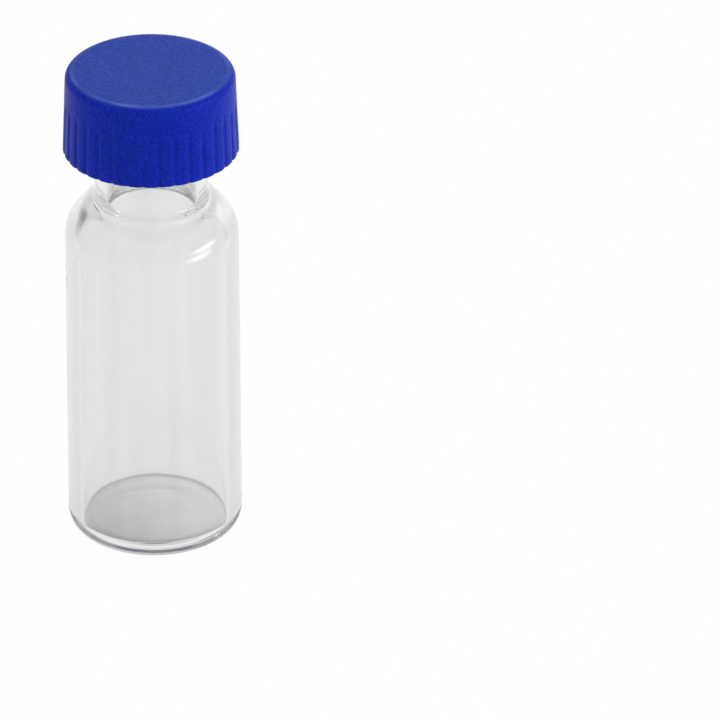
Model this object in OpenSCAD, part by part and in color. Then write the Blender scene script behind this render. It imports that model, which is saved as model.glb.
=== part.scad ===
// Glass sample vial with a fluted screw cap and a sealing liner.
// Millimetres. The origin is the centre of the base, and +Z runs up the vial's axis to the cap.

/* [Glass body] */
// Outside diameter of the body
body_d = 11.6; // [11:0.1:16]
// Height of the glass, from the foot to the mouth
glass_h = 32; // [24:0.5:60]
// Thickness of the body's wall
wall = 1; // [0.7:0.05:1.3]
// Thickness of the base at its edge
base_t = 1.2; // [0.7:0.05:2]
// Outside radius where the side turns under to the foot
heel_r = 1.6; // [0.4:0.1:2]
// Inside radius where the wall meets the floor
floor_r = 0.15; // [0.1:0.05:1.5]
// Width of the flat ring that the vial stands on
foot_w = 0.3; // [0.2:0.1:2]
// Depth of the hollow under the base
push_up = 0.1; // [0.05:0.05:0.5]

/* [Shoulder and neck] */
// Outside radius where the side turns in to the shoulder
shoulder_r = 3; // [2:0.1:4]
// Slope of the shoulder outside, in degrees from upright
shoulder_slope = 42.5; // [35:0.5:55]
// Inside radius where the wall turns in under the shoulder
inner_shoulder_r = 2.6; // [1.5:0.1:3]
// Slope of the shoulder inside, flatter because the glass thickens towards the neck
inner_slope = 60; // [50:1:70]
// How far below the outside the inside starts to turn in
inner_drop = 0.6; // [0:0.1:1.5]
// Outside diameter of the neck, below its thread
neck_d = 7.6; // [7:0.1:8.4]
// Thickness of the neck's wall
neck_wall = 0.8; // [0.5:0.05:1.2]
// Height of the straight neck, from the shoulder to the mouth
neck_h = 6.5; // [5.5:0.1:9]
// Outside radius where the shoulder runs up into the neck
throat_r = 0.8; // [0.5:0.1:1.5]
// Inside radius where the shoulder runs up into the bore
inner_throat_r = 0.6; // [0.3:0.1:1]
// Rounding of the mouth's two edges
lip_r = 0.3; // [0.1:0.05:0.3]

/* [Screw thread] */
// Rise of the thread in one turn, which is fourteen threads to the inch
pitch = 1.814; // [1.6:0.002:2.2]
// Height of the vial's thread above the neck
thread_h = 0.55; // [0.4:0.05:0.6]
// Width of the vial's thread at its root
thread_w = 1.1; // [0.8:0.05:1.2]
// Turns of thread on the vial
vial_turns = 1.5; // [1:0.25:2]
// Height from the mouth down to the middle of the thread's upper end
thread_start = 0.85; // [0.7:0.05:1.5]
// Width of the cap's thread at its root
cap_thread_w = 0.9; // [0.6:0.05:1]
// Height from the cap's rim up to the middle of its thread's lower end
cap_thread_start = 0.6; // [0.5:0.05:1]
// Height from the liner down to the middle of the cap thread's upper end
cap_thread_end = 0.8; // [0.6:0.05:1.5]
// Gap all round between a thread's crest and the wall that it faces
thread_gap = 0.15; // [0.1:0.01:0.3]

/* [Cap] */
// Height of the cap
cap_h = 5.8; // [5:0.1:8]
// Thickness of the cap's skirt at its rim
cap_wall = 1.38; // [0.8:0.02:2]
// Thickness of the cap's top
cap_top_t = 1.1; // [0.8:0.1:2]
// Draft of the cap's side, in degrees from upright
cap_draft = 2.16; // [0.5:0.02:3]
// Rounding of the cap's top edge
cap_edge_r = 0.6; // [0.2:0.05:1]
// Number of grip flutes round the side
flutes = 34; // [24:1:48]
// Depth of a flute
flute_depth = 0.08; // [0.05:0.01:0.3]
// Width of a flute's mouth
flute_w = 0.6; // [0.2:0.05:0.9]
// Height from the cap's top down to the flutes' upper ends
flute_start = 1.9; // [1:0.1:3]
// Lead-in chamfer inside the rim
lead_in = 0.3; // [0.1:0.05:0.5]

/* [Liner] */
// Thickness of the sealing liner
liner_t = 1; // [0.8:0.1:1.5]
// Gap round the liner in the cap's bore
liner_gap = 0.05; // [0.02:0.01:0.1]

/* [Hidden] */
$fn = 120;

body_r = body_d / 2;
neck_r = neck_d / 2;
bore_r = neck_r - neck_wall;
// The mouth's rounding, limited so that the neck's wall keeps a flat land on top
mouth_r = min(lip_r, 0.4 * neck_wall);

// The shoulder's two arcs, limited by the room between the side and the neck
outer_arc_r = min(shoulder_r, arc_room(body_r, shoulder_slope, neck_r, throat_r));
inner_arc_r = min(inner_shoulder_r, arc_room(body_r - wall, inner_slope, bore_r, inner_throat_r));
// Height of the shoulder, from the straight side to the straight neck
shoulder_h = throat_centre(body_r, outer_arc_r, shoulder_slope, neck_r, throat_r)[1];
// Height where the straight side ends
side_top = glass_h - neck_h - shoulder_h;

// Height of the middle of the vial thread's lower end
vial_thread_z = glass_h - thread_start - vial_turns * pitch;
// Radius of the hollow that the cap's thread stands in, and of the cap at its rim
cap_bore_r = neck_r + thread_h + thread_gap;
cap_r = cap_bore_r + cap_wall;
// Heights of the cap's underside, top and rim when it is screwed home on the liner
ceiling_z = glass_h + liner_t;
cap_top_z = ceiling_z + cap_top_t;
rim_z = cap_top_z - cap_h;
liner_r = cap_bore_r - liner_gap;
// Length of a flute along the drafted side
flute_length = (cap_h - flute_start) / cos(cap_draft);
// Height of the middle of the cap thread's lower end, and the turns that fit above it
cap_thread_z = rim_z + cap_thread_start;
cap_turns = (glass_h - cap_thread_end - cap_thread_z) / pitch;

// Depth to which a thread is rooted in its wall
thread_root = 0.3;
// Angle between two rings of a thread's mesh, and angle over which its ends fade out
thread_step = 10;
thread_fade = 50;
// Angle between two points of a thread's round crest
crest_step = 30;
// Share of its height that a thread starts with at its very end, under the wall's surface
fade_start = 0.1;
// How far cutters run past the faces that they cut
past = 0.5;

// Largest arc that can lead from the side to the cone and leave room for the curve into the neck
function arc_room(side_r, slope, upright_r, curve_r) =
    (side_r - upright_r) / (1 - cos(slope)) - curve_r;

// Where the shoulder's arc ends and its cone begins. Heights are counted from the top of the side.
function cone_start(side_r, arc_r, slope) = [
    side_r - arc_r + arc_r * cos(slope),
    arc_r * sin(slope)
];

// Middle of the hollow curve between the shoulder's cone and the upright neck
function throat_centre(side_r, arc_r, slope, upright_r, curve_r) =
    let (start = cone_start(side_r, arc_r, slope))
    let (x = upright_r + curve_r)
    [x, start[1] + (curve_r - (x - start[0]) * cos(slope)) / sin(slope)];

// Half section of a bottle shape filled to its axis, used for the glass and for the space in it
module bottle_section(bottom, corner_r, side_r, side_end, arc_r, slope, upright_r, curve_r, top) {
    start = cone_start(side_r, arc_r, slope);
    centre = throat_centre(side_r, arc_r, slope, upright_r, curve_r);
    cone_end = centre - curve_r * [cos(slope), sin(slope)];
    translate([0, bottom])
        square([side_r - corner_r, side_end - bottom]);
    translate([side_r - corner_r, bottom + corner_r])
        circle(corner_r);
    translate([0, bottom + corner_r])
        square([side_r, side_end - bottom - corner_r]);
    translate([0, side_end]) {
        intersection() {
            translate([side_r - arc_r, 0])
                circle(arc_r);
            translate([0, -arc_r])
                square([side_r, arc_r + start[1]]);
        }
        difference() {
            polygon([[0, -arc_r], [side_r - arc_r, -arc_r], [side_r - arc_r, 0], start, cone_end,
                     centre, [upright_r, centre[1]], [0, centre[1]]]);
            translate(centre)
                circle(curve_r);
        }
        square([upright_r, top - side_end]);
    }
}

// Round edge of the mouth, over the whole thickness of the neck's wall
module lip_section() {
    for (x = [bore_r + mouth_r, neck_r - mouth_r])
        translate([x, glass_h - mouth_r])
            circle(mouth_r);
    translate([bore_r + mouth_r, glass_h - 2 * mouth_r])
        square([neck_r - bore_r - 2 * mouth_r, 2 * mouth_r]);
}

// Shallow round hollow under the base, inside the flat foot
module push_up_section() {
    hollow_r = body_r - heel_r - foot_w;
    dome_r = (hollow_r * hollow_r + push_up * push_up) / (2 * push_up);
    intersection() {
        translate([0, push_up - dome_r])
            circle(dome_r);
        translate([0, -past])
            square([hollow_r, past + push_up]);
    }
}

// Right-hand screw ridge with a round crest, rooted inside root_r and reaching crest_r.
// The middle of its lower end is at z = 0, and both ends fade into the wall.
module thread_ridge(root_r, crest_r, width, turns) {
    steps = round(turns * 360 / thread_step);
    profile = [for (a = [0 : crest_step : 180]) [sin(a), -cos(a) * width / 2]];
    count = len(profile);
    function strength(i) = let (t = min(1, min(i, steps - i) * thread_step / thread_fade))
        fade_start + (1 - fade_start) * sin(90 * t);
    rings = [for (i = [0 : steps]) for (p = profile)
        let (turned = i * thread_step)
        let (r = root_r + (crest_r - root_r) * p[0] * strength(i))
        [r * cos(turned), r * sin(turned), pitch * turned / 360 + p[1]]];
    // On a ridge that stands inward, the crest is nearer the axis, so each face is turned over
    function outward(face) = crest_r < root_r ? [face[2], face[1], face[0]] : face;
    sides = [for (i = [0 : steps - 1]) for (j = [0 : count - 1])
        let (a = i * count + j)
        let (b = i * count + (j + 1) % count)
        each [outward([a, b, a + count]), outward([b, b + count, a + count])]];
    last = steps * count;
    ends = [for (j = [1 : count - 2])
        each [outward([0, j + 1, j]), outward([last, last + j, last + j + 1])]];
    polyhedron(rings, concat(sides, ends));
}

// Clear glass, one piece
module vial() {
    color([0.86, 0.9, 0.92, 0.4])
        union() {
            rotate_extrude()
                difference() {
                    union() {
                        difference() {
                            bottle_section(0, heel_r, body_r, side_top, outer_arc_r, shoulder_slope,
                                           neck_r, throat_r, glass_h - mouth_r);
                            bottle_section(base_t, floor_r, body_r - wall, side_top - inner_drop,
                                           inner_arc_r, inner_slope, bore_r, inner_throat_r, glass_h);
                        }
                        lip_section();
                    }
                    push_up_section();
                }
            translate([0, 0, vial_thread_z])
                thread_ridge(neck_r - thread_root, neck_r + thread_h, thread_w, vial_turns);
        }
}

// Half section of the cap before its flutes are cut
module cap_section() {
    side_rise = cap_h - cap_edge_r;
    edge_x = cap_r - (cap_edge_r + side_rise * sin(cap_draft)) / cos(cap_draft);
    edge_z = cap_top_z - cap_edge_r;
    difference() {
        union() {
            polygon([[0, rim_z], [cap_r, rim_z],
                     [edge_x + cap_edge_r * cos(cap_draft), edge_z + cap_edge_r * sin(cap_draft)],
                     [edge_x, edge_z], [edge_x, cap_top_z], [0, cap_top_z]]);
            translate([edge_x, edge_z])
                circle(cap_edge_r);
        }
        translate([0, rim_z - past])
            square([cap_bore_r, ceiling_z - rim_z + past]);
        polygon([[0, rim_z - past], [cap_bore_r + lead_in + past, rim_z - past],
                 [cap_bore_r, rim_z + lead_in], [0, rim_z + lead_in]]);
    }
}

// Outline of one flute, a shallow notch that reaches past the side
module flute_section() {
    mouth_at_past = flute_w * (flute_depth + past) / flute_depth;
    polygon([[-flute_depth, 0], [past, -mouth_at_past / 2], [past, mouth_at_past / 2]]);
}

// Blue polypropylene moulding: the flutes follow the side's draft and stop short of the top edge
module cap() {
    // The cap's thread runs midway between the turns of the vial's thread
    turned = 360 * (cap_thread_z - vial_thread_z - pitch / 2) / pitch;
    color([0.09, 0.15, 0.65])
        union() {
            difference() {
                rotate_extrude()
                    cap_section();
                for (i = [0 : flutes - 1])
                    rotate(360 * i / flutes)
                        translate([cap_r, 0, rim_z])
                            rotate([0, -cap_draft, 0])
                                translate([0, 0, -past])
                                    linear_extrude(flute_length + past)
                                        flute_section();
            }
            translate([0, 0, cap_thread_z])
                rotate(turned)
                    thread_ridge(cap_bore_r + thread_root, neck_r + thread_gap, cap_thread_w, cap_turns);
        }
}

// Soft sealing disc, held in the cap above its thread and seated on the vial's mouth
module liner() {
    color([0.92, 0.9, 0.86])
        translate([0, 0, glass_h])
            cylinder(r = liner_r, h = liner_t);
}

vial();
cap();
liner();
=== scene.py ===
"""Glass sample vial with a fluted blue screw cap and a sealing liner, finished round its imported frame."""
from math import atan2, cos, pi, radians, sin, sqrt, tan

import bmesh
import bpy
from mathutils import Matrix, Quaternion, Vector


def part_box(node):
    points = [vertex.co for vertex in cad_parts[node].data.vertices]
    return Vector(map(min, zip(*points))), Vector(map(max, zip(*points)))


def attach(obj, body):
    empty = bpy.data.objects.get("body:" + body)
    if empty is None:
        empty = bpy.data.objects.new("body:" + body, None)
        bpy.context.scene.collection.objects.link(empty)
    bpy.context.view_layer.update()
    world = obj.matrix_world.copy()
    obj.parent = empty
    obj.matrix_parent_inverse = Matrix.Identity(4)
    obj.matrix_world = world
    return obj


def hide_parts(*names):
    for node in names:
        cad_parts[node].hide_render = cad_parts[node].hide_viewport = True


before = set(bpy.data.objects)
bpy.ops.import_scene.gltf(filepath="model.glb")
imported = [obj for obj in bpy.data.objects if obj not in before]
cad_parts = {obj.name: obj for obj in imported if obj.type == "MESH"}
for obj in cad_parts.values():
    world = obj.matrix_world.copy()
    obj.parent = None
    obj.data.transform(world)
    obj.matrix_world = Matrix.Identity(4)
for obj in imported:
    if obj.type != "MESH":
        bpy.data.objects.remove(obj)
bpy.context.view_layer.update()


# The vial. One piece of clear borosilicate tube: its base is closed and its shoulder rolled in the flame,
# and the neck's thread is rolled on while the glass is soft. It stands on a narrow flat ring.

mm = 0.001
glass_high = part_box("vial")[1]
glass_h = glass_high.z
body_r = glass_high.x
wall = 1 * mm
base_t = 1.2 * mm
heel_r = 1.6 * mm
floor_r = 0.15 * mm
foot_w = 0.3 * mm
push_up = 0.1 * mm

shoulder_r = 3 * mm
shoulder_slope = radians(42.5)
inner_shoulder_r = 2.6 * mm
inner_slope = radians(60)
inner_drop = 0.6 * mm
neck_r = 3.8 * mm
neck_wall = 0.8 * mm
bore_r = neck_r - neck_wall
neck_h = 6.5 * mm
throat_r = 0.8 * mm
inner_throat_r = 0.6 * mm
lip_r = 0.3 * mm

pitch = 1.814 * mm
thread_h = 0.55 * mm
thread_w = 1.1 * mm
thread_root = 0.3 * mm
thread_fade = radians(50)
thread_start = 0.85 * mm
vial_turns = 1.5
vial_thread_z = glass_h - thread_start - vial_turns * pitch

vial_slices = 12
steps_per_slice = 16
same_place = 0.0005 * mm
on_wall = 0.01 * mm

clear_glass = (0.92, 0.922, 0.918, 1)
drawn_glass = (0.87, 0.872, 0.868, 1)
# Painted shade, for the glass towards its grazing edges
edge_painted_shade_grey = (0.66, 0.665, 0.66, 1)
# Painted light: the untinted base, plain and faintly clouded
base_painted_light = (1, 1, 0.995, 1)
base_painted_light_clouded = (0.93, 0.925, 0.935, 1)
# Painted shade, for the rim of the base
base_rim_painted_shade_grey = (0.68, 0.68, 0.69, 1)
# Painted shade, for dark lines at the neck's root, the heel and the corner of the base
throat_painted_shade_black = (0.05, 0.055, 0.06, 1)
heel_painted_shade_grey = (0.3, 0.31, 0.36, 1)
corner_painted_shade_grey = (0.3, 0.31, 0.32, 1)


def new_tip(bm, x, z):
    """Sets the pen down for an outline, x from the axis and z up"""
    return bmesh.ops.create_vert(bm, co=(x, 0, z))["vert"][0]


def draw_line(bm, tip, x, z, rows):
    """Carries an outline on from its tip in a straight line of so many rows"""
    start = tip.co.copy()
    for row in range(1, rows + 1):
        tip = bmesh.ops.extrude_vert_indiv(bm, verts=[tip])["verts"][0]
        tip.co = start.lerp(Vector((x, 0, z)), row / rows)
    return tip


def draw_arc(bm, tip, x, z, angle, rows):
    """Carries an outline on from its tip in an arc about x and z, anticlockwise if angle is above zero"""
    made = bmesh.ops.spin(bm, geom=[tip], cent=(x, 0, z), axis=(0, -1, 0), angle=angle, steps=rows)
    return made["geom_last"][0]


def draw_bottle(bm, tip, corner_r, side_r, side_end, arc_r, slope, upright_r, curve_r, top):
    """Draws a bottle's outline from the flat of its base, round the corner and up to the neck's top"""
    corner_x = side_r - corner_r
    bottom = tip.co.z
    tip = draw_line(bm, tip, corner_x, bottom, rows=4)
    tip = draw_arc(bm, tip, corner_x, bottom + corner_r, pi / 2, rows=18)
    tip = draw_line(bm, tip, side_r, side_end, rows=60)
    tip = draw_arc(bm, tip, side_r - arc_r, side_end, slope, rows=20)
    curve_x = upright_r + curve_r
    rise = (curve_r - (curve_x - tip.co.x) * cos(slope)) / sin(slope)
    curve_z = tip.co.z + rise
    tip = draw_line(bm, tip, curve_x - curve_r * cos(slope), curve_z - curve_r * sin(slope), rows=6)
    tip = draw_arc(bm, tip, curve_x, curve_z, -slope, rows=12)
    return draw_line(bm, tip, upright_r, top, rows=100)


def shoulder_rise(side_r, arc_r, slope, upright_r, curve_r):
    """Height of a shoulder, from the straight side to the straight neck"""
    reach = upright_r + curve_r - (side_r - arc_r + arc_r * cos(slope))
    return arc_r * sin(slope) + (curve_r - reach * cos(slope)) / sin(slope)


def turn_solid(bm, parts, steps):
    """Turns an outline once round the axis in so many like parts, closes its poles and faces it outwards"""
    outline, part = bm.verts[:] + bm.edges[:], 2 * pi / parts
    bmesh.ops.spin(bm, geom=outline, cent=(0, 0, 0), axis=(0, 0, 1), angle=part, steps=steps)
    bmesh.ops.spin(
        bm, geom=bm.verts[:] + bm.edges[:] + bm.faces[:], cent=(0, 0, 0), axis=(0, 0, 1),
        angle=2 * pi - part, steps=parts - 1, use_duplicate=True,
    )
    bmesh.ops.remove_doubles(bm, verts=bm.verts[:], dist=same_place)
    bmesh.ops.recalc_face_normals(bm, faces=bm.faces[:])


def thread_reach(angle, z, low_z, turns, width, height):
    """How far a round-crested right-hand thread stands out of its wall at an angle and a height"""
    reach = 0
    for lap in range(int(turns) + 2):
        turned = angle % (2 * pi) + 2 * pi * lap
        if turned > 2 * pi * turns:
            break
        off = 2 * (z - low_z - pitch * turned / (2 * pi)) / width
        end = min(turned, 2 * pi * turns - turned) / thread_fade
        strength = sin(pi / 2 * min(1, end))
        if abs(off) < 1:
            reach = max(reach, (thread_root + height) * sqrt(1 - off * off) * strength - thread_root)
    return reach


def move_out(vert, reach):
    """Moves a point straight away from the axis, or towards it if reach is below zero"""
    x, y, z = vert.co
    r = sqrt(x * x + y * y)
    vert.co = Vector((x * (r + reach) / r, y * (r + reach) / r, z))


def new_object(bm, name, material):
    """Makes an object of a finished shape"""
    mesh = bpy.data.meshes.new(name)
    bm.to_mesh(mesh)
    bm.free()
    mesh.materials.append(material)
    made = bpy.data.objects.new(name, mesh)
    bpy.context.scene.collection.objects.link(made)
    return made


def finish_piece(bm, name, node, body, material):
    """Makes a smooth object of a turned piece and gives it its place in the frame"""
    piece = new_object(bm, name, material)
    piece.data.shade_smooth()
    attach(piece, body)
    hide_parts(node)


side_top = glass_h - neck_h - shoulder_rise(body_r, shoulder_r, shoulder_slope, neck_r, throat_r)
throat_z = side_top - inner_drop + shoulder_rise(
    body_r - wall, inner_shoulder_r, inner_slope, bore_r, inner_throat_r
)


def vial_mesh():
    """The glass, from one outline up the outside and one up the inside that meet at the lip"""
    bm = bmesh.new()
    hollow_r = body_r - heel_r - foot_w
    dome_r = (hollow_r ** 2 + push_up ** 2) / (2 * push_up)
    tip = new_tip(bm, 0, push_up)
    tip = draw_arc(bm, tip, 0, push_up - dome_r, -atan2(hollow_r, dome_r - push_up), rows=16)
    outer = draw_bottle(
        bm, tip, heel_r, body_r, side_top, shoulder_r, shoulder_slope, neck_r, throat_r, glass_h - lip_r
    )
    outer = draw_arc(bm, outer, neck_r - lip_r, glass_h - lip_r, pi / 2, rows=6)
    inner = draw_bottle(
        bm, new_tip(bm, 0, base_t), floor_r, body_r - wall, side_top - inner_drop, inner_shoulder_r,
        inner_slope, bore_r, inner_throat_r, glass_h - lip_r,
    )
    inner = draw_arc(bm, inner, bore_r + lip_r, glass_h - lip_r, -pi / 2, rows=6)
    draw_line(bm, outer, inner.co.x, inner.co.z, rows=2)
    turn_solid(bm, vial_slices, steps_per_slice)
    for vert in bm.verts:
        x, y, z = vert.co
        if abs(sqrt(x * x + y * y) - neck_r) < on_wall:
            move_out(vert, thread_reach(atan2(y, x), z, vial_thread_z, vial_turns, thread_w, thread_h))
    return bm


def blended(tree, factor, one, other):
    """A colour between two, each a colour socket or four numbers"""
    mix = tree.nodes.new("ShaderNodeMix")
    mix.data_type = "RGBA"
    for socket, value in ((mix.inputs["A"], one), (mix.inputs["B"], other)):
        if isinstance(value, tuple):
            socket.default_value = value
        else:
            tree.links.new(value, socket)
    tree.links.new(factor, mix.inputs["Factor"])
    return mix.outputs["Result"]


def ranged(tree, value, start, end, low, high, smooth=False):
    """A value that goes from low at start to high at end"""
    fade = tree.nodes.new("ShaderNodeMapRange")
    if smooth:
        fade.interpolation_type = "SMOOTHSTEP"
    fade.inputs["From Min"].default_value = start
    fade.inputs["From Max"].default_value = end
    fade.inputs["To Min"].default_value = low
    fade.inputs["To Max"].default_value = high
    tree.links.new(value, fade.inputs["Value"])
    return fade.outputs["Result"]


def product(tree, one, other):
    """Two values multiplied, each a socket or a number"""
    times = tree.nodes.new("ShaderNodeMath")
    times.operation = "MULTIPLY"
    for socket, value in zip(times.inputs, (one, other)):
        if isinstance(value, (int, float)):
            socket.default_value = value
        else:
            tree.links.new(value, socket)
    return times.outputs[0]


def noise(tree, vector, scale, detail):
    """An uneven pattern, with about scale marks to the metre and finer ones by detail"""
    texture = tree.nodes.new("ShaderNodeTexNoise")
    texture.inputs["Scale"].default_value = scale
    texture.inputs["Detail"].default_value = detail
    tree.links.new(vector, texture.inputs["Vector"])
    return texture.outputs["Fac"]


def bumped(tree, height, strength, depth, under=None):
    """A bumpy finish, on top of another if one is under it"""
    bump = tree.nodes.new("ShaderNodeBump")
    bump.inputs["Strength"].default_value = strength
    bump.inputs["Distance"].default_value = depth
    tree.links.new(height, bump.inputs["Height"])
    if under:
        tree.links.new(under, bump.inputs["Normal"])
    return bump.outputs["Normal"]


def off_axis(tree, vector):
    """Distance from the vial's axis"""
    flat = tree.nodes.new("ShaderNodeVectorMath")
    flat.operation = "MULTIPLY"
    flat.inputs[1].default_value = (1, 1, 0)
    tree.links.new(vector, flat.inputs[0])
    radius = tree.nodes.new("ShaderNodeVectorMath")
    radius.operation = "LENGTH"
    tree.links.new(flat.outputs["Vector"], radius.inputs[0])
    return radius.outputs["Value"]


def near_ring(tree, vector, ring_r, ring_z, start, end):
    """One as far as start from a level ring about the axis, and nothing beyond end"""
    height = tree.nodes.new("ShaderNodeSeparateXYZ")
    tree.links.new(vector, height.inputs["Vector"])
    here = tree.nodes.new("ShaderNodeCombineXYZ")
    tree.links.new(off_axis(tree, vector), here.inputs["X"])
    tree.links.new(height.outputs["Z"], here.inputs["Z"])
    apart = tree.nodes.new("ShaderNodeVectorMath")
    apart.operation = "DISTANCE"
    apart.inputs[1].default_value = (ring_r, 0, ring_z)
    tree.links.new(here.outputs["Vector"], apart.inputs[0])
    return ranged(tree, apart.outputs["Value"], start, end, 1, 0, smooth=True)


def glass_material():
    """Clear glass with faint draw lines and clouds in its thick base, painted light in the base, and
    painted shade at its grazing edges, its base's rim and in dark lines at the neck's root, heel and base
    corner
    """
    material = bpy.data.materials.new("clear_glass")
    material.use_nodes = True
    tree = material.node_tree
    glass = tree.nodes["Principled BSDF"]
    glass.inputs["IOR"].default_value = 1.5
    glass.inputs["Transmission Weight"].default_value = 1
    place = tree.nodes.new("ShaderNodeTexCoord").outputs["Object"]
    # Draw lines of the tube, long and upright, and a slow waviness in the wall
    drawn = tree.nodes.new("ShaderNodeMapping")
    drawn.inputs["Scale"].default_value = (1, 1, 0.04)
    tree.links.new(place, drawn.inputs["Vector"])
    lines = noise(tree, drawn.outputs["Vector"], scale=620, detail=2)
    waves = noise(tree, place, scale=160, detail=2)
    bands = ranged(tree, lines, 0.35, 0.65, 0, 1)
    side = blended(tree, bands, drawn_glass, clear_glass)
    # Painted shade: the outside is greyed where it is seen at a grazing angle, towards its edges
    facing = tree.nodes.new("ShaderNodeLayerWeight").outputs["Facing"]
    outside = ranged(tree, off_axis(tree, place), body_r - 0.6 * wall, body_r - 0.4 * wall, 0, 1)
    edge_painted_shade = product(tree, outside, ranged(tree, facing, 0.46, 0.58, 0, 1, smooth=True))
    edge_shaded = blended(tree, edge_painted_shade, side, edge_painted_shade_grey)
    # The thick base is left untinted, painted light that brightens what is seen through it, and faintly
    # clouded; painted shade greys its rim
    base = near_ring(tree, place, ring_r=0, ring_z=base_t, start=2 * mm, end=body_r - wall)
    clouds = ranged(tree, noise(tree, place, scale=420, detail=3), 0.35, 0.65, 0, 1)
    pooled = blended(tree, base, edge_shaded, blended(tree, clouds, base_painted_light_clouded, base_painted_light))
    rim = near_ring(
        tree, place, ring_r=body_r - wall - 0.2 * mm, ring_z=base_t, start=0.1 * mm, end=0.55 * mm
    )
    closed = blended(tree, rim, pooled, base_rim_painted_shade_grey)
    # Painted shade: dark lines at the neck's root, the heel and the corner of the base
    throat = product(
        tree, ranged(tree, facing, 0.3, 0.55, 0, 1),
        near_ring(tree, place, ring_r=bore_r + 0.15 * mm, ring_z=throat_z, start=0.1 * mm, end=0.8 * mm),
    )
    necked = blended(tree, throat, closed, throat_painted_shade_black)
    heel = product(
        tree, ranged(tree, facing, 0.35, 0.65, 0, 1),
        near_ring(tree, place, ring_r=body_r - 0.2 * mm, ring_z=1 * mm, start=0.1 * mm, end=0.8 * mm),
    )
    heeled = blended(tree, heel, necked, heel_painted_shade_grey)
    corner = near_ring(
        tree, place, ring_r=body_r - wall - 0.02 * mm, ring_z=base_t + 0.02 * mm, start=0.05 * mm,
        end=0.2 * mm,
    )
    tree.links.new(blended(tree, corner, heeled, corner_painted_shade_grey), glass.inputs["Base Color"])
    tree.links.new(ranged(tree, waves, 0.5, 0.75, 0, 0.02), glass.inputs["Roughness"])
    ripple = bumped(tree, lines, strength=0.15, depth=0.02 * mm)
    wavy = bumped(tree, waves, strength=0.3, depth=0.1 * mm, under=ripple)
    tree.links.new(wavy, glass.inputs["Normal"])
    return material


finish_piece(vial_mesh(), "vial_glass", "vial", "vial", glass_material())


# The cap. One moulding in blue polypropylene, unscrewed off its core, with an inward thread that takes the
# vial's. Its side has draft, and the upright grooves of its grip die out towards the top.

cap_low, cap_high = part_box("cap")
rim_z, cap_top_z = cap_low.z, cap_high.z
ceiling_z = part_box("liner")[1].z
thread_gap = 0.15 * mm
cap_bore_r = neck_r + thread_h + thread_gap
cap_wall = 1.38 * mm
cap_r = cap_bore_r + cap_wall
cap_draft = radians(2.16)
cap_edge_r = 0.6 * mm
rim_edge_r = 0.12 * mm
lead_in = 0.3 * mm

flutes = 34
steps_per_flute = 14
flute_depth = 0.08 * mm
flute_w = 0.6 * mm
flute_top = cap_top_z - 1.9 * mm
flute_run_out = 0.8 * mm

cap_thread_w = 0.9 * mm
cap_thread_z = rim_z + 0.6 * mm
cap_thread_top = glass_h - 0.8 * mm
cap_turns = (cap_thread_top - cap_thread_z) / pitch
cap_thread_turned = 2 * pi * (cap_thread_z - vial_thread_z - pitch / 2) / pitch

deep_blue = (0.0015, 0.012, 0.3, 1)
deep_blue_grain = (0.004, 0.022, 0.44, 1)
bright_blue = (0.002, 0.015, 0.34, 1)
bright_blue_grain = (0.006, 0.027, 0.5, 1)
# Painted sheen, for the flat top
top_painted_sheen_blue = (0.026, 0.066, 0.31, 1)
top_painted_sheen_blue_grain = (0.046, 0.096, 0.45, 1)
# Painted highlight, for the top's edge
edge_painted_highlight_blue = (0.1, 0.17, 0.6, 1)
painted_sheen_depth = 0.16 * mm
painted_highlight_r = 5.22 * mm
painted_highlight_w = 0.22 * mm


def cap_mesh():
    """The cap, turned flute by flute, with the flutes sunk in its side and the thread raised in its bore"""
    bm = bmesh.new()
    edge_z = cap_top_z - cap_edge_r
    edge_x = cap_r - (cap_edge_r + (edge_z - rim_z) * sin(cap_draft)) / cos(cap_draft)
    slant = tan(cap_draft)
    full_flute_z = flute_top - flute_run_out
    tip = new_tip(bm, 0, cap_top_z)
    tip = draw_line(bm, tip, edge_x, cap_top_z, rows=12)
    tip = draw_arc(bm, tip, edge_x, edge_z, cap_draft - pi / 2, rows=14)
    tip = draw_line(bm, tip, cap_r - (flute_top - rim_z) * slant, flute_top, rows=8)
    tip = draw_line(bm, tip, cap_r - (full_flute_z - rim_z) * slant, full_flute_z, rows=6)
    tip = draw_line(bm, tip, cap_r - rim_edge_r * slant, rim_z + rim_edge_r, rows=26)
    tip = draw_arc(bm, tip, tip.co.x - rim_edge_r, rim_z + rim_edge_r, -pi / 2, rows=4)
    tip = draw_line(bm, tip, cap_bore_r + lead_in, rim_z, rows=3)
    tip = draw_line(bm, tip, cap_bore_r, rim_z + lead_in, rows=3)
    tip = draw_line(bm, tip, cap_bore_r, ceiling_z, rows=70)
    draw_line(bm, tip, 0, ceiling_z, rows=4)
    turn_solid(bm, flutes, steps_per_flute)
    for vert in bm.verts:
        x, y, z = vert.co
        r = sqrt(x * x + y * y)
        if r > (cap_bore_r + cap_r) / 2:
            from_flute = (0.5 - abs(atan2(y, x) * flutes / (2 * pi) % 1 - 0.5)) * 2 * pi * r / flutes
            hollow = (1 + cos(pi * min(1, 2 * from_flute / flute_w))) / 2
            end = min(1, max(0, (flute_top - z) / flute_run_out))
            move_out(vert, -flute_depth * hollow * sin(pi / 2 * end))
        elif abs(r - cap_bore_r) < on_wall:
            turned = atan2(y, x) - cap_thread_turned
            move_out(vert, -thread_reach(turned, z, cap_thread_z, cap_turns, cap_thread_w, thread_h))
    return bm


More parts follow.
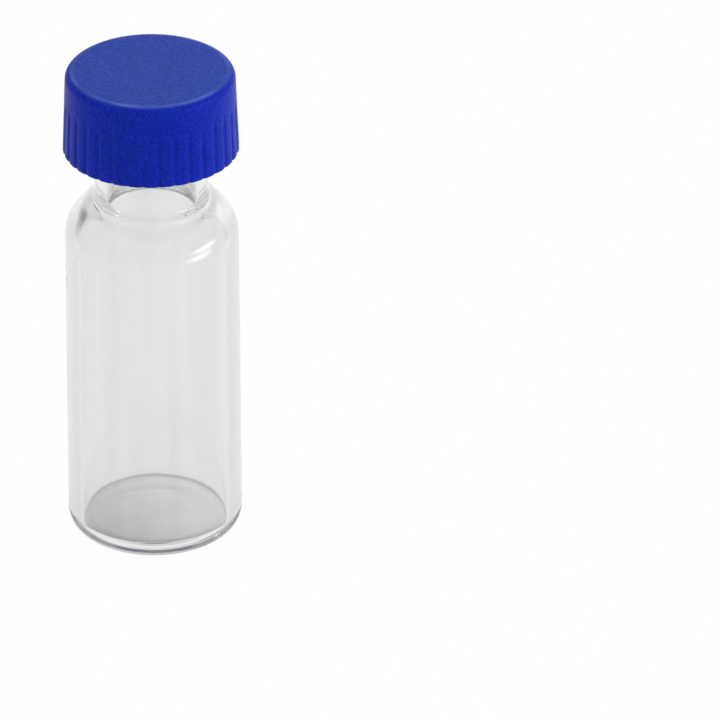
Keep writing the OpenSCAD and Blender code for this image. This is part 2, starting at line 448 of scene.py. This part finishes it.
def cap_material():
    """Blue plastic with the mould's fine grain, with painted sheen paling the top and a patchy painted
    highlight on the top's edge
    """
    material = bpy.data.materials.new("blue_polypropylene")
    material.use_nodes = True
    tree = material.node_tree
    plastic = tree.nodes["Principled BSDF"]
    plastic.inputs["Specular IOR Level"].default_value = 0.08
    place = tree.nodes.new("ShaderNodeTexCoord").outputs["Object"]
    # The moulded colour, a little uneven, with the fine grain of the mould
    grain = noise(tree, place, scale=6500, detail=2)
    clouds = noise(tree, place, scale=700, detail=4)
    speckle = ranged(tree, grain, 0.36, 0.64, 0, 1)
    deep = blended(tree, speckle, deep_blue, deep_blue_grain)
    bright = blended(tree, speckle, bright_blue, bright_blue_grain)
    colour = blended(tree, ranged(tree, clouds, 0.35, 0.65, 0, 1), deep, bright)
    # Painted sheen makes the flat top paler than the side, and a painted highlight lies on its edge, broken
    # up by noise
    height = tree.nodes.new("ShaderNodeSeparateXYZ")
    tree.links.new(place, height.inputs["Vector"])
    painted_top_sheen = ranged(
        tree, height.outputs["Z"], cap_top_z - painted_sheen_depth, cap_top_z - 0.02 * mm, 0, 0.62
    )
    topped = blended(tree, painted_top_sheen, colour, blended(tree, speckle, top_painted_sheen_blue, top_painted_sheen_blue_grain))
    # Painted highlight along the top's edge, made patchy by noise
    edge = near_ring(
        tree, place, ring_r=painted_highlight_r, ring_z=cap_top_z - 0.03 * mm, start=0, end=painted_highlight_w
    )
    highlight_patches = ranged(tree, noise(tree, place, scale=260, detail=2), 0.42, 0.62, 0.1, 0.8)
    edge_highlighted = blended(tree, product(tree, edge, highlight_patches), topped, edge_painted_highlight_blue)
    tree.links.new(edge_highlighted, plastic.inputs["Base Color"])
    tree.links.new(ranged(tree, clouds, 0, 1, 0.34, 0.5), plastic.inputs["Roughness"])
    uneven = bumped(tree, clouds, strength=0.2, depth=0.02 * mm)
    grained = bumped(tree, grain, strength=0.5, depth=0.012 * mm, under=uneven)
    tree.links.new(grained, plastic.inputs["Normal"])
    return material


finish_piece(cap_mesh(), "screw_cap", "cap", "cap", cap_material())


# The liner. A soft disc punched from sheet rubber and pressed into the cap, above its thread, where the
# vial's mouth beds into it.

liner_low, liner_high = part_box("liner")
liner_gap = 0.05 * mm
liner_r = cap_bore_r - liner_gap
liner_edge_r = 0.06 * mm

cream_rubber = (0.7, 0.68, 0.62, 1)
pale_rubber = (0.8, 0.785, 0.73, 1)
rubber_speck = (0.5, 0.47, 0.41, 1)
pressed_rubber = (0.62, 0.59, 0.52, 1)


def liner_mesh():
    """The disc, with its two edges a little rounded"""
    bm = bmesh.new()
    edge_x = liner_r - liner_edge_r
    tip = new_tip(bm, 0, liner_low.z)
    tip = draw_line(bm, tip, edge_x, liner_low.z, rows=30)
    tip = draw_arc(bm, tip, edge_x, liner_low.z + liner_edge_r, pi / 2, rows=4)
    tip = draw_line(bm, tip, liner_r, liner_high.z - liner_edge_r, rows=4)
    tip = draw_arc(bm, tip, edge_x, liner_high.z - liner_edge_r, pi / 2, rows=4)
    draw_line(bm, tip, 0, liner_high.z, rows=6)
    turn_solid(bm, parts=16, steps=8)
    return bm


def liner_material():
    """Cream rubber, mottled and dull, with the mark of the vial's mouth"""
    material = bpy.data.materials.new("liner_rubber")
    material.use_nodes = True
    tree = material.node_tree
    rubber = tree.nodes["Principled BSDF"]
    rubber.inputs["Specular IOR Level"].default_value = 0.3
    place = tree.nodes.new("ShaderNodeTexCoord").outputs["Object"]
    mottle = noise(tree, place, scale=450, detail=4)
    grain = noise(tree, place, scale=5200, detail=2)
    sheet = blended(tree, ranged(tree, mottle, 0.35, 0.65, 0, 1), cream_rubber, pale_rubber)
    specks = blended(tree, ranged(tree, grain, 0.3, 0.42, 0.5, 0), sheet, rubber_speck)
    # The mouth has left a smooth, slightly darker ring pressed into the face
    mouth_r = (neck_r + bore_r) / 2
    pressed = near_ring(
        tree, place, ring_r=mouth_r, ring_z=liner_low.z, start=0.2 * mm, end=(neck_r - bore_r) / 2
    )
    tree.links.new(blended(tree, pressed, specks, pressed_rubber), rubber.inputs["Base Color"])
    tree.links.new(ranged(tree, pressed, 0, 1, 0.72, 0.4), rubber.inputs["Roughness"])
    dull = bumped(tree, grain, strength=0.5, depth=0.015 * mm)
    marked = bumped(tree, pressed, strength=0.6, depth=-0.04 * mm, under=dull)
    tree.links.new(marked, rubber.inputs["Normal"])
    return material


finish_piece(liner_mesh(), "sealing_liner", "liner", "liner", liner_material())


# The studio. A pale floor and a white surround, white in plain view and a little darker in the glass, with
# soft lights overhead and at the right. A white card at the right, a dark one behind at the left and a pale
# one behind at the right show only in the glass and in gloss.

foot_shade_x = -5 * mm
foot_shade_y = -4 * mm
room_level = 0.64


def larger(tree, one, other):
    """The larger of two values"""
    pick = tree.nodes.new("ShaderNodeMath")
    pick.operation = "MAXIMUM"
    tree.links.new(one, pick.inputs[0])
    tree.links.new(other, pick.inputs[1])
    return pick.outputs[0]


def seen_white(tree, in_glass, in_view):
    """How white a thing looks in glass and gloss and in plain view, with nothing for other light"""
    path = tree.nodes.new("ShaderNodeLightPath")
    glass_or_gloss = larger(tree, path.outputs["Is Glossy Ray"], path.outputs["Is Transmission Ray"])
    through = product(tree, glass_or_gloss, in_glass)
    return larger(tree, through, product(tree, path.outputs["Is Camera Ray"], in_view))


def mix_with_white(tree, share, shader, brightness):
    """Ends a material that is its own shader where share is 0, and white of a brightness where it is 1"""
    white = tree.nodes.new("ShaderNodeEmission")
    white.inputs["Strength"].default_value = brightness
    mix = tree.nodes.new("ShaderNodeMixShader")
    tree.links.new(share, mix.inputs[0])
    tree.links.new(shader.outputs[0], mix.inputs[1])
    tree.links.new(white.outputs[0], mix.inputs[2])
    out = tree.nodes.new("ShaderNodeOutputMaterial")
    tree.links.new(mix.outputs[0], out.inputs["Surface"])


def studio_floor():
    """The floor, white in plain view but for the vial's own faint shadow"""
    material = bpy.data.materials.new("pale_floor")
    material.use_nodes = True
    tree = material.node_tree
    tree.nodes.clear()
    place = tree.nodes.new("ShaderNodeTexCoord").outputs["Object"]
    # Painted shadow: seen through the glass it is darker under the foot, most so on the side away from the
    # light
    under = near_ring(tree, place, ring_r=0, ring_z=0, start=5 * mm, end=6 * mm)
    away = tree.nodes.new("ShaderNodeVectorMath")
    away.operation = "DISTANCE"
    away.inputs[1].default_value = (foot_shade_x, foot_shade_y, 0)
    tree.links.new(place, away.inputs[0])
    shade = ranged(tree, away.outputs["Value"], 1 * mm, 11 * mm, 0.62, 0)
    unshaded = tree.nodes.new("ShaderNodeMath")
    unshaded.operation = "SUBTRACT"
    unshaded.inputs[0].default_value = 0.99
    tree.links.new(product(tree, under, shade), unshaded.inputs[1])
    # In plain view the vial's own faint shadow shows near it, and pure white all round
    open_floor = ranged(tree, off_axis(tree, place), body_r, body_r + 6 * mm, 0.98, 1, smooth=True)
    white_share = seen_white(tree, in_glass=product(tree, unshaded.outputs[0], 0.68), in_view=open_floor)
    paint = tree.nodes.new("ShaderNodeBsdfDiffuse")
    paint.inputs["Color"].default_value = (0.9, 0.9, 0.9, 1)
    mix_with_white(tree, white_share, paint, brightness=1)
    bm = bmesh.new()
    bmesh.ops.create_circle(bm, cap_ends=True, radius=3, segments=64)
    floor = new_object(bm, "studio_floor", material)


def surround():
    """The room, white in plain view and dimmer in the glass and as a light"""
    world = bpy.data.worlds.new("white_surround")
    bpy.context.scene.world = world
    world.use_nodes = True
    tree = world.node_tree
    tree.nodes.clear()
    light = tree.nodes.new("ShaderNodeBackground")
    light.inputs["Color"].default_value = (1, 1, 1, 1)
    level = ranged(tree, seen_white(tree, in_glass=0.27, in_view=1), 0, 1, room_level, 1)
    tree.links.new(level, light.inputs["Strength"])
    out = tree.nodes.new("ShaderNodeOutputWorld")
    tree.links.new(light.outputs[0], out.inputs["Surface"])


def direction(azimuth, elevation):
    """Where a thing stands round the vial. Azimuth 0 is the camera's side and 90 its right"""
    a, e = radians(azimuth), radians(elevation)
    return Vector((sin(a) * cos(e), -cos(a) * cos(e), sin(e)))


def soft_light(name, azimuth, elevation, distance, width, height, power, in_gloss=True):
    """A panel of light that faces the middle of the glass"""
    back = direction(azimuth, elevation)
    lamp = bpy.data.lights.new(name, "AREA")
    lamp.shape = "RECTANGLE"
    lamp.size, lamp.size_y = width, height
    lamp.energy = power
    panel = bpy.data.objects.new(name, lamp)
    panel.location = Vector((0, 0, glass_h / 2)) + back * distance
    panel.rotation_mode = "QUATERNION"
    panel.rotation_quaternion = back.to_track_quat("Z", "Y")
    panel.visible_camera = False
    panel.visible_glossy = in_gloss
    panel.visible_transmission = in_gloss
    bpy.context.scene.collection.objects.link(panel)


def soft_card(name, azimuth, elevation, distance, width, height, brightness):
    """A card with soft edges, of a brightness of its own, that shows only in the glass and in gloss"""
    back = direction(azimuth, elevation)
    bm = bmesh.new()
    bmesh.ops.create_grid(bm, x_segments=1, y_segments=1, size=0.5)
    layer = bm.loops.layers.uv.new("UVMap")
    for face in bm.faces:
        for loop in face.loops:
            loop[layer].uv = 2 * loop.vert.co.xy
    turn = back.to_track_quat("Z", "Y").to_matrix().to_4x4()
    place = Matrix.Translation(Vector((0, 0, glass_h / 2)) + back * distance)
    bmesh.ops.transform(bm, matrix=place @ turn @ Matrix.Diagonal((width, height, 1, 1)), verts=bm.verts[:])
    material = bpy.data.materials.new(name)
    material.use_nodes = True
    tree = material.node_tree
    tree.nodes.clear()
    middle = tree.nodes.new("ShaderNodeVectorMath")
    middle.operation = "LENGTH"
    tree.links.new(tree.nodes.new("ShaderNodeUVMap").outputs["UV"], middle.inputs[0])
    clear = tree.nodes.new("ShaderNodeBsdfTransparent")
    solid = ranged(tree, middle.outputs["Value"], 0.2, 1, 1, 0, smooth=True)
    mix_with_white(tree, solid, clear, brightness)
    card = new_object(bm, name, material)
    card.visible_camera = False
    card.visible_shadow = False
    card.visible_diffuse = False


studio_floor()
surround()
soft_light("top_light", azimuth=180, elevation=75, distance=0.5, width=0.3, height=0.3, power=0.5)
soft_light(
    "right_light", azimuth=78, elevation=15, distance=0.5, width=0.36, height=0.2, power=1, in_gloss=False
)
soft_card("white_card", azimuth=72, elevation=11, distance=0.5, width=0.56, height=0.14, brightness=7)
soft_card("dark_card", azimuth=-145, elevation=14, distance=0.3, width=0.22, height=0.2, brightness=0.3)
soft_card("pale_card", azimuth=151, elevation=13, distance=0.3, width=0.3, height=0.24, brightness=1)

light_bounces = 48
bpy.context.scene.cycles.max_bounces = light_bounces
bpy.context.scene.cycles.transmission_bounces = light_bounces
bpy.context.scene.cycles.glossy_bounces = light_bounces


# The camera. A long lens from the front, looking down on the vial, which stands left of the middle.

camera_elevation = radians(28)
camera_roll = radians(-0.5)
camera_distance = 2.0
frame_width = 48.18 * mm
foot_left = 13.77 * mm
foot_below = 10.75 * mm

lens = bpy.data.cameras.new("camera")
lens.lens = lens.sensor_width * camera_distance / frame_width
lens.clip_start, lens.clip_end = 0.01, 20
camera = bpy.data.objects.new("camera", lens)
out = Vector((0, -cos(camera_elevation), sin(camera_elevation)))
up = Vector((0, sin(camera_elevation), cos(camera_elevation)))
camera.location = Vector((foot_left, 0, 0)) + up * foot_below + out * camera_distance
camera.rotation_mode = "QUATERNION"
camera.rotation_quaternion = out.to_track_quat("Z", "Y") @ Quaternion((0, 0, 1), camera_roll)
bpy.context.scene.collection.objects.link(camera)
bpy.context.scene.camera = camera
bpy.context.scene.view_settings.view_transform = "Standard"
